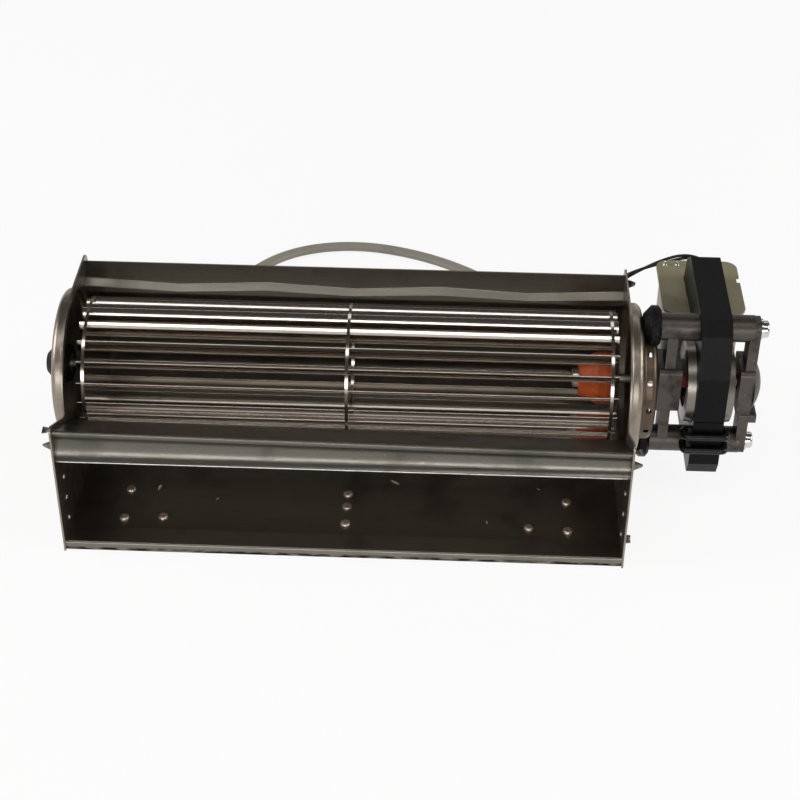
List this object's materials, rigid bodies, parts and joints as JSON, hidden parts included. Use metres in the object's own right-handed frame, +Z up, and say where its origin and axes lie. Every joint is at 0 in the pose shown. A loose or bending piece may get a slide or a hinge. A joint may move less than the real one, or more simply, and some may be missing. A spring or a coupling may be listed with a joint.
{
  "type": "cross flow fan",
  "caption": "Cross flow fan with a folded sheet steel scroll housing, a bladed drum wheel and a shaded-pole motor at one end; its grey lead lies behind it.",
  "frame": {"origin": "on the standing surface, below the wheel axis and midway between the end plates, on the underside of the middle foot strap", "axes": "+X along the wheel axis towards the motor, +Y to the back of the scroll, away from the outlet, +Z up"},
  "size_m": [0.3241, 0.2661, 0.0966],
  "materials": {
    "zinc_sheet": "dull galvanised sheet",
    "wheel_sheet": "satin",
    "steel": "satin",
    "carrier_plate": "dull, yellowed zinc",
    "die_cast": "rough grey casting",
    "rubber": "matt",
    "hub_rubber": "matt",
    "bronze": "satin",
    "laminations": "dark, lacquered",
    "copper": "satin",
    "cream_plastic": "matt",
    "coil_tape": "satin",
    "screw_zinc": "bright zinc",
    "rotor_metal": "cast",
    "fibre": "matt",
    "cable_sheath": "satin PVC",
    "lead_sheath": "satin PVC"
  },
  "bodies": {
    "housing": {"volute_sheet": "zinc_sheet", "tongue_sheet": "zinc_sheet", "end_plate_idle": "zinc_sheet", "end_plate_drive": "zinc_sheet", "duct_rivets": "steel", "foot_idle": "zinc_sheet", "foot_middle": "zinc_sheet", "foot_drive": "zinc_sheet", "bearing_rubber": "rubber", "bearing_bush": "bronze", "motor_carrier": "carrier_plate", "rubber_mounts": "rubber", "bracket_inner": "die_cast", "bracket_outer": "die_cast", "motor_bearings": "bronze", "bearing_cap": "die_cast", "lamination_stack": "laminations", "shading_rings": "copper", "coil_bobbin": "cream_plastic", "coil_winding": "coil_tape", "stack_screws": "screw_zinc", "screw_washers": "screw_zinc", "winding_leads": "lead_sheath", "supply_cable": "cable_sheath", "cable_coil": "cable_sheath", "cable_tail": "cable_sheath", "cable_cores": "lead_sheath"},
    "wheel": {"wheel_blades": "wheel_sheet", "wheel_disc_idle": "wheel_sheet", "wheel_disc_middle": "wheel_sheet", "wheel_disc_drive": "wheel_sheet", "stub_shaft": "steel", "drive_hub": "hub_rubber", "hub_bush": "steel", "motor_shaft": "steel", "rotor_core": "laminations", "rotor_end_rings": "rotor_metal", "shaft_spacers": "fibre"}
  },
  "joints": [
    {"name": "wheel_spin", "type": "hinge", "parent": "housing", "child": "wheel", "pos_m": [0, 0, 0.0566], "axis": [1, 0, 0], "continuous": true}
  ]
}
